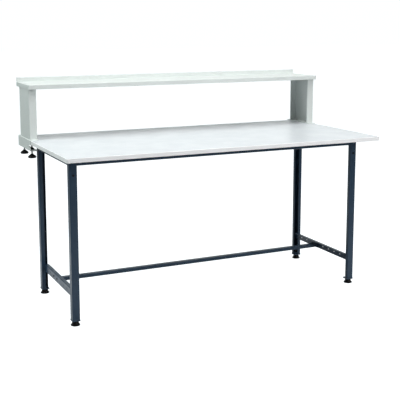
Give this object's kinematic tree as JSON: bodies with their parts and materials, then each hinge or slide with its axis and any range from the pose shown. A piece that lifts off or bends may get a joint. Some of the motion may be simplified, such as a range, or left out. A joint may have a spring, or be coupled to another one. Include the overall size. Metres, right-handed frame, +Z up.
{
  "type": "workbench",
  "caption": "Flat laminated worktop on four lipped angle legs with levelling feet, low side rails and a stretcher, and a raised folded shelf clamped along the rear edge.",
  "frame": {"origin": "on the floor under the middle of the whole bench's bounding box, feet screwed right in", "axes": "+X along the worktop to the user's right, +Y from the user's side to the rear, +Z up"},
  "size_m": [1.5066, 0.78, 1],
  "materials": {
    "laminate": "fine matt laminate",
    "backer": "plain balancing laminate",
    "board": "pressed board",
    "edge_band": "satin",
    "frame_paint": "semi-gloss powder coat",
    "riser_paint": "fine textured powder coat",
    "bright_steel": "zinc plated",
    "dark_steel": "black oxide",
    "black_plastic": "fine textured",
    "pad_plastic": "smooth"
  },
  "bodies": {
    "bench": {"worktop_laminate": "laminate", "worktop_backer": "backer", "worktop_board": "board", "worktop_edge_band": "edge_band", "front_left_leg": "frame_paint", "front_right_leg": "frame_paint", "rear_left_leg": "frame_paint", "rear_right_leg": "frame_paint", "front_top_rail": "frame_paint", "rear_top_rail": "frame_paint", "left_top_rail": "frame_paint", "right_top_rail": "frame_paint", "left_side_rail": "frame_paint", "right_side_rail": "frame_paint", "stretcher": "frame_paint", "left_stretcher_plate": "frame_paint", "right_stretcher_plate": "frame_paint", "front_left_nut_plate": "frame_paint", "front_right_nut_plate": "frame_paint", "rear_left_nut_plate": "frame_paint", "rear_right_nut_plate": "frame_paint", "foot_weld_nuts": "frame_paint", "riser_shelf": "riser_paint", "left_upright": "riser_paint", "right_upright": "riser_paint", "left_clamp_bracket": "riser_paint", "right_clamp_bracket": "riser_paint", "worktop_screws": "bright_steel", "top_rail_bolts": "bright_steel", "top_rail_nuts": "bright_steel", "shelf_weld_studs": "bright_steel", "shelf_nuts": "bright_steel", "bracket_weld_studs": "bright_steel", "bracket_nuts": "bright_steel", "stretcher_screws": "dark_steel", "clamp_nuts": "dark_steel", "leg_plugs": "black_plastic"},
    "front_left_foot": {"front_left_foot_base": "black_plastic"},
    "front_left_stud": {"front_left_foot_stud": "dark_steel"},
    "front_right_foot": {"front_right_foot_base": "black_plastic"},
    "front_right_stud": {"front_right_foot_stud": "dark_steel"},
    "rear_left_foot": {"rear_left_foot_base": "black_plastic"},
    "rear_left_stud": {"rear_left_foot_stud": "dark_steel"},
    "rear_right_foot": {"rear_right_foot_base": "black_plastic"},
    "rear_right_stud": {"rear_right_foot_stud": "dark_steel"},
    "front_left_pad": {"front_left_clamp_pad": "pad_plastic"},
    "front_left_screw": {"front_left_clamp_screw": "bright_steel", "front_left_clamp_knob": "black_plastic"},
    "front_right_pad": {"front_right_clamp_pad": "pad_plastic"},
    "front_right_screw": {"front_right_clamp_screw": "bright_steel", "front_right_clamp_knob": "black_plastic"},
    "rear_left_pad": {"rear_left_clamp_pad": "pad_plastic"},
    "rear_left_screw": {"rear_left_clamp_screw": "bright_steel", "rear_left_clamp_knob": "black_plastic"},
    "rear_right_pad": {"rear_right_clamp_pad": "pad_plastic"},
    "rear_right_screw": {"rear_right_clamp_screw": "bright_steel", "rear_right_clamp_knob": "black_plastic"}
  },
  "joints": [
    {"name": "front_left_foot_height", "type": "slide", "parent": "bench", "child": "front_left_foot", "axis": [0, 0, -1], "range_m": [0, 0.015]},
    {"name": "front_left_foot_turn", "type": "hinge", "parent": "front_left_foot", "child": "front_left_stud", "pos_m": [-0.6885, -0.2535, 0.03], "axis": [0, 0, -1], "range_deg": [0, 3601]},
    {"name": "front_right_foot_height", "type": "slide", "parent": "bench", "child": "front_right_foot", "axis": [0, 0, -1], "range_m": [0, 0.015]},
    {"name": "front_right_foot_turn", "type": "hinge", "parent": "front_right_foot", "child": "front_right_stud", "pos_m": [0.6885, -0.2535, 0.03], "axis": [0, 0, -1], "range_deg": [0, 3601]},
    {"name": "rear_left_foot_height", "type": "slide", "parent": "bench", "child": "rear_left_foot", "axis": [0, 0, -1], "range_m": [0, 0.015]},
    {"name": "rear_left_foot_turn", "type": "hinge", "parent": "rear_left_foot", "child": "rear_left_stud", "pos_m": [-0.6885, 0.2235, 0.03], "axis": [0, 0, -1], "range_deg": [0, 3601]},
    {"name": "rear_right_foot_height", "type": "slide", "parent": "bench", "child": "rear_right_foot", "axis": [0, 0, -1], "range_m": [0, 0.015]},
    {"name": "rear_right_foot_turn", "type": "hinge", "parent": "rear_right_foot", "child": "rear_right_stud", "pos_m": [0.6885, 0.2235, 0.03], "axis": [0, 0, -1], "range_deg": [0, 3601]},
    {"name": "front_left_clamp_open", "type": "slide", "parent": "bench", "child": "front_left_pad", "axis": [0, 0, -1], "range_m": [0, 0.0065]},
    {"name": "front_left_clamp_turn", "type": "hinge", "parent": "front_left_pad", "child": "front_left_screw", "pos_m": [-0.735, 0.205, 0.68], "axis": [0, 0, -1], "range_deg": [0, 1873]},
    {"name": "front_right_clamp_open", "type": "slide", "parent": "bench", "child": "front_right_pad", "axis": [0, 0, -1], "range_m": [0, 0.0065]},
    {"name": "front_right_clamp_turn", "type": "hinge", "parent": "front_right_pad", "child": "front_right_screw", "pos_m": [0.735, 0.205, 0.68], "axis": [0, 0, -1], "range_deg": [0, 1873]},
    {"name": "rear_left_clamp_open", "type": "slide", "parent": "bench", "child": "rear_left_pad", "axis": [0, 0, -1], "range_m": [0, 0.0065]},
    {"name": "rear_left_clamp_turn", "type": "hinge", "parent": "rear_left_pad", "child": "rear_left_screw", "pos_m": [-0.735, 0.345, 0.68], "axis": [0, 0, -1], "range_deg": [0, 1873]},
    {"name": "rear_right_clamp_open", "type": "slide", "parent": "bench", "child": "rear_right_pad", "axis": [0, 0, -1], "range_m": [0, 0.0065]},
    {"name": "rear_right_clamp_turn", "type": "hinge", "parent": "rear_right_pad", "child": "rear_right_screw", "pos_m": [0.735, 0.345, 0.68], "axis": [0, 0, -1], "range_deg": [0, 1873]}
  ],
  "couplings": [
    {"joint": "front_left_foot_turn", "follows": "front_left_foot_height", "rad_per_m": 4188.8},
    {"joint": "front_right_foot_turn", "follows": "front_right_foot_height", "rad_per_m": 4188.8},
    {"joint": "rear_left_foot_turn", "follows": "rear_left_foot_height", "rad_per_m": 4188.8},
    {"joint": "rear_right_foot_turn", "follows": "rear_right_foot_height", "rad_per_m": 4188.8},
    {"joint": "front_left_clamp_turn", "follows": "front_left_clamp_open", "rad_per_m": 5026.5},
    {"joint": "front_right_clamp_turn", "follows": "front_right_clamp_open", "rad_per_m": 5026.5},
    {"joint": "rear_left_clamp_turn", "follows": "rear_left_clamp_open", "rad_per_m": 5026.5},
    {"joint": "rear_right_clamp_turn", "follows": "rear_right_clamp_open", "rad_per_m": 5026.5}
  ]
}
